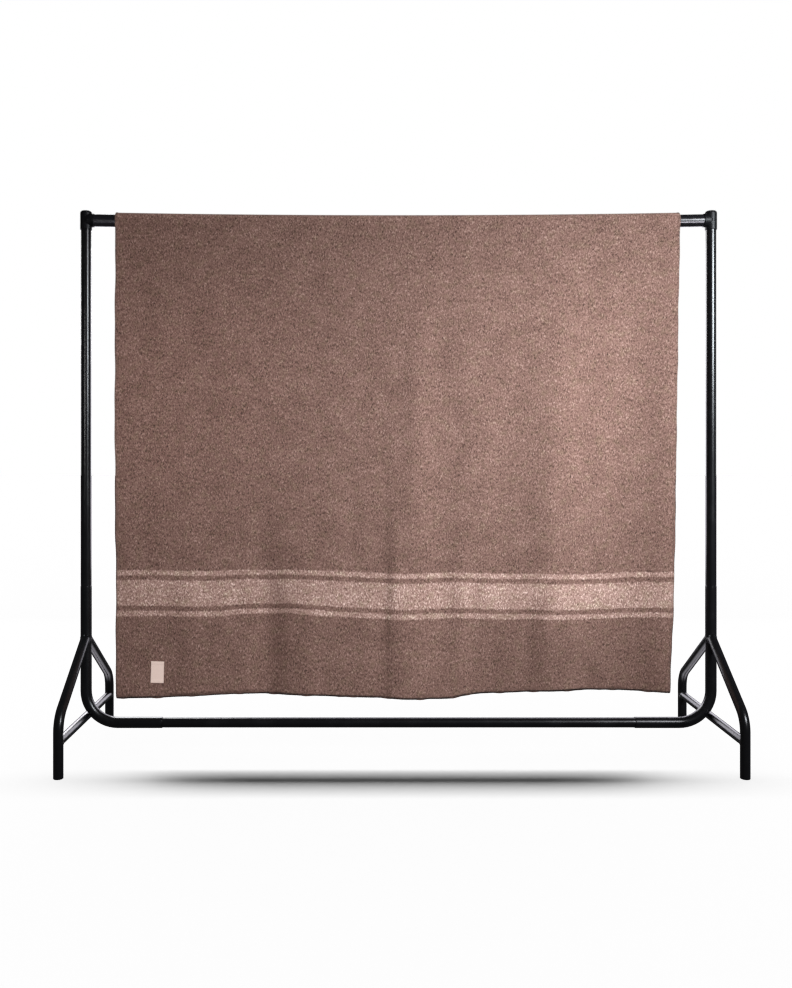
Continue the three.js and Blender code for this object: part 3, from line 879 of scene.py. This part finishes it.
def make_end(side):
    upright, upright_half = box_middle(f"upright_{side}")
    base_low, base_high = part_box(f"base_{side}")
    base_radius = base_high.y
    inwards = 1 if side == "left" else -1
    x = upright.x
    bar_height = base_low.z + base_radius
    reach = x + inwards * (base_high.x - base_low.x - base_radius)
    tall = Vector((0, 0, upright_half.z))
    made = [straight_tube(f"upright_{side}_tube", upright - tall, upright + tall, upright_half.y)]
    base_points = (x, 0, base_high.z), (x, 0, bar_height), (reach, 0, bar_height)
    made.append(bent_tube(f"base_{side}_tube", *base_points, BASE_BEND, base_radius))
    for way, front in (("front", -1), ("rear", 1)):
        _, leg_half = box_middle(f"leg_{way}_{side}")
        spread = front * (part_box(f"leg_rear_{side}")[1].y - leg_half.x)
        leg_points = (x, spread, 0), (x, spread, LEG_KNEE), (x, 0, LEG_MEET)
        made.append(bent_tube(f"leg_{way}_{side}_tube", *leg_points, LEG_BEND, leg_half.x))
    crossbar, crossbar_half = box_middle(f"crossbar_{side}")
    span = Vector((0, crossbar_half.y, 0))
    made.append(straight_tube(f"crossbar_{side}_tube", crossbar - span, crossbar + span, crossbar_half.x))
    return [finished(tube, paint, tube.name.removesuffix("_tube")) for tube in made]


top_rail = make_top_rail()
bottom_rail = make_bottom_rail()
end_pieces = make_end("left") + make_end("right")

# %% [markdown]
# ## Welds
# Where a leg meets the base tube, and where a crossbar meets a leg, a weld bead runs round the joint. A
# hand-laid bead is a row of small ripples, so a thin tube follows the joint's curve and swells and
# shrinks along it. The curve is where one round bar cuts another, worked out for each angle round it.

# %% Beads round the joints
BEAD = 0.0016
RIPPLE = 0.0005
BEAD_STEPS = 120
BEAD_RIPPLES = 30
BEAD_SIDES = 8


def joint_curve(place, direction, radius, centre, other_axis, other_radius):
    # Points where a bar's side lines, followed along its direction, reach another round bar
    direction, other_axis = Vector(direction).normalized(), Vector(other_axis).normalized()
    aside = direction.orthogonal().normalized()
    above = direction.cross(aside)
    curve = []
    for angle in np.arange(BEAD_STEPS) * 2 * math.pi / BEAD_STEPS:
        start = Vector(place) + (aside * math.cos(angle) + above * math.sin(angle)) * radius
        gap = start - Vector(centre)
        gap -= other_axis * gap.dot(other_axis)
        way = direction - other_axis * direction.dot(other_axis)
        a, b, c = way.dot(way), 2 * gap.dot(way), gap.dot(gap) - other_radius**2
        travel = (-b - math.sqrt(max(b * b - 4 * a * c, 0))) / (2 * a)
        curve.append(start + direction * travel)
    return curve


def bead(curve):
    radii = BEAD + RIPPLE * np.sin(np.arange(BEAD_STEPS) * 2 * np.pi * BEAD_RIPPLES / BEAD_STEPS)
    return sweep(curve, radii, BEAD_SIDES, closed=True)


def make_welds(side):
    _, base_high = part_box(f"base_{side}")
    upright, _ = box_middle(f"upright_{side}")
    crossbar, crossbar_half = box_middle(f"crossbar_{side}")
    _, leg_half = box_middle(f"leg_rear_{side}")
    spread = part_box(f"leg_rear_{side}")[1].y - leg_half.x
    parts = []
    for front in (-1, 1):
        foot, knee = Vector((upright.x, front * spread, 0)), Vector((upright.x, front * spread, LEG_KNEE))
        slope = Vector((upright.x, 0, LEG_MEET)) - knee
        parts.append(bead(joint_curve(knee, slope, leg_half.x, upright, (0, 0, 1), base_high.y)))
        parts.append(bead(joint_curve(crossbar, (0, front, 0), crossbar_half.x, foot, (0, 0, 1), leg_half.x)))
    return finished(joined_mesh(f"welds_{side}", parts), paint)


end_pieces += [make_welds("left"), make_welds("right")]

# %% [markdown]
# ## Corner fittings
# Each fitting is one moulding: a capped sleeve over the upright with a collar for the rail, melted
# together by a soft fillet. Two turned shapes are joined and remeshed into one skin, and smoothing then
# rounds the inner corner, which a plain boolean would leave sharp.

# %% One moulding, placed at both ends
FITTING_VOXEL = 0.0009
SLEEVE_RADIUS = 0.0166
SLEEVE_DOME = 0.007
COLLAR_RADIUS = 0.0192
COLLAR_ROUND = 0.006
FITTING_SIDES = 64
FACING = 0.9


def make_corner(side):
    node = f"corner_{side}"
    low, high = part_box(node)
    upright, _ = box_middle(f"upright_{side}")
    inwards = 1 if side == "left" else -1
    collar_face = high.x if side == "left" else low.x
    middle_height = (low.z + high.z) / 2
    deselect_all()
    bpy.ops.mesh.primitive_cylinder_add(
        vertices=FITTING_SIDES, radius=SLEEVE_RADIUS, depth=high.z - low.z,
        location=(upright.x, 0, middle_height))
    piece = bpy.context.object
    piece.name = piece.data.name = f"corner_{side}_moulding"
    bpy.ops.object.transform_apply(location=True, rotation=True, scale=True)
    bpy.ops.object.mode_set(mode="EDIT")
    bpy.ops.mesh.select_all(action="DESELECT")
    bpy.ops.mesh.select_mode(type="FACE")
    edit = bmesh.from_edit_mesh(piece.data)
    for face in edit.faces:
        face.select_set(face.normal.z > FACING)
    bmesh.update_edit_mesh(piece.data)
    bpy.ops.mesh.region_to_loop()
    bpy.ops.mesh.bevel(offset=SLEEVE_DOME, segments=8, affect="EDGES")
    reach = abs(collar_face - upright.x)
    bpy.ops.mesh.primitive_cylinder_add(
        vertices=FITTING_SIDES, radius=COLLAR_RADIUS, depth=reach, rotation=(0, math.pi / 2, 0),
        location=(upright.x + inwards * reach / 2, 0, middle_height))
    bpy.ops.mesh.select_all(action="DESELECT")
    bpy.ops.mesh.select_mode(type="FACE")
    edit = bmesh.from_edit_mesh(piece.data)
    for face in edit.faces:
        at_upright = abs(face.calc_center_median().x - upright.x) < 1e-4
        face.select_set(abs(face.normal.x) > FACING and at_upright)
    bmesh.update_edit_mesh(piece.data)
    bpy.ops.mesh.region_to_loop()
    bpy.ops.mesh.bevel(offset=COLLAR_ROUND, segments=5, affect="EDGES")
    bpy.ops.object.mode_set(mode="OBJECT")
    apply_modifier(piece, "REMESH", mode="VOXEL", voxel_size=FITTING_VOXEL)
    apply_modifier(piece, "SMOOTH", factor=0.5, iterations=7)
    return finished(piece, plastic, node, angle=60)


corners = [make_corner("left"), make_corner("right")]

# %% [markdown]
# ## Floor and sky
# The rail stands on a pale floor that runs off into white. The floor only catches shadows: it throws no
# light back, so that lamps and sky alone shape the cloth. The sky is white to the camera, softer on the cloth
# and dim in the tubes' gloss, and it is darker from below, which leaves the turned hem in shade.

# %% A floor that catches shadows, and a white sky
FLOOR_SIZE = 60
SKY_FILL, SKY_GLOSS, SKY_BELOW = 0.56, 0.05, 0.25
WHITE = (1.0, 1.0, 1.0, 1.0)


def floor_finish():
    material, start = new_finish("pale_floor", {"Roughness": 0.75, "Specular IOR Level": 0.2})
    place = start.node("TexCoord", out="Object")
    mottle = place.noise(6.0, 3.0)
    colour = mottle.step(0.3, 0.7).mix((0.86, 0.86, 0.86, 1.0), (0.89, 0.89, 0.885, 1.0))
    return connect(material, base_color=colour)


def make_floor():
    deselect_all()
    bpy.ops.mesh.primitive_plane_add(size=FLOOR_SIZE, location=(0, 0, 0))
    floor = bpy.context.object
    floor.name = "pale_floor"
    floor.data.materials.append(floor_finish())
    floor.is_shadow_catcher = True
    floor.visible_diffuse = False
    floor.visible_glossy = False
    return floor


def make_sky():
    world = bpy.data.worlds.new("studio")
    bpy.context.scene.world = world
    world.use_nodes = True
    tree = world.node_tree
    sky = tree.nodes["Background"]
    start = Wire(tree)
    seen = start.node("LightPath", out="Is Camera Ray")
    mirrored = start.node("LightPath", out="Is Glossy Ray")
    sky.inputs["Color"].default_value = WHITE
    height = start.node("SeparateXYZ", None, {0: start.node("TexCoord", out="Generated")}, out="Z")
    shade = height.step(-0.7, -0.1) * (1.0 - SKY_BELOW) + SKY_BELOW
    strength = seen + (1.0 - seen) * (mirrored * SKY_GLOSS + (1.0 - mirrored) * SKY_FILL * shade)
    tree.links.new(strength.socket, sky.inputs["Strength"])


floor = make_floor()
make_sky()
print("floor:", FLOOR_SIZE, "m wide, sky fill:", SKY_FILL)

# %% [markdown]
# ## Lamps
# A soft key light from the viewer's right rakes across the cloth, so the folds' right sides are bright and
# their left sides dark, as in the photograph. A faint fill lifts the left side, and a light behind serves
# the views from the back. Black gloss shows only what it mirrors, so the tubes have lamps of their own,
# kept off the cloth by light linking: one for the uprights, a low strip for the top rail, a glow from the
# floor for the rear legs and a broad backdrop. Last, a low strip behind lights the floor alone. Only the
# bottom rail stands in its way, which draws the soft dark streak in front of the rail.

# %% Lamps that light chosen pieces
VIOLET_WHITE = (0.93, 0.9, 1)


def link_group(name, members, state):
    group = bpy.data.collections.new(name)
    for member in members:
        group.objects.link(member)
    for link in group.collection_objects:
        link.light_linking.link_state = state
    return group


def make_lamp(name, place, aim, size, power, colour=(1, 1, 1), spread=180, only=None, blockers=None):
    data = bpy.data.lights.new(name, "AREA")
    data.shape = "RECTANGLE"
    data.size, data.size_y = size
    data.energy = power
    data.color = colour
    data.spread = math.radians(spread)
    lamp = bpy.data.objects.new(name, data)
    lamp.visible_camera = False
    lit = link_group(name + "_lights", only or [floor], "INCLUDE" if only else "EXCLUDE")
    lamp.light_linking.receiver_collection = lit
    if blockers:
        lamp.light_linking.blocker_collection = link_group(name + "_shadows", blockers, "INCLUDE")
    lamp.location = place
    lamp.rotation_euler = (Vector(aim) - Vector(place)).to_track_quat("-Z", "Y").to_euler()
    bpy.context.scene.collection.objects.link(lamp)


# %% Place, aim, size and power of each lamp
rail_pieces = [top_rail, bottom_rail] + end_pieces + corners
rear_legs = [piece for piece in end_pieces if "rear" in piece.name]
make_lamp("key", (1.9, -1.8, 1.6), (0.42, 0, 0.95), (0.7, 0.7), 11.6, colour=(0.9, 1.02, 1.06), spread=54)
make_lamp("behind", (-1.8, 3.2, 2.2), (0, 0, 0.8), (1.6, 1.6), 70)
make_lamp("left_fill", (-1.3, -2.2, 1.15), (-0.68, 0, 1.02), (0.5, 0.5), 0.23, spread=26)
make_lamp(
    "tube_key", (1.9, -2.3, 1.8), (0, 0, 0.9), (0.5, 1.1), 50, colour=(0.96, 0.93, 1), only=rail_pieces,
)
make_lamp(
    "rail_front", (0.5, -2.0, 0.1), (0.3, 0, 1.5), (3.4, 0.5), 190, colour=VIOLET_WHITE, only=[top_rail],
)
make_lamp(
    "floor_glow", (0, 0.35, 0.02), (0, 0.3, 0.5), (2.4, 0.5), 3.5, colour=VIOLET_WHITE, spread=90,
    only=rear_legs,
)
make_lamp("backdrop", (0, 2.6, 1.1), (0, 0, 0.9), (4.5, 1.8), 80, colour=VIOLET_WHITE, only=rail_pieces)
make_lamp(
    "low_strip", (0, 1.9, 0.63), (0, -0.25, 0), (6.0, 0.2), 1400, only=[floor], blockers=[bottom_rail],
)
bpy.context.scene.view_settings.view_transform = "Standard"
print("lamps:", sorted(light.name for light in bpy.data.lights))
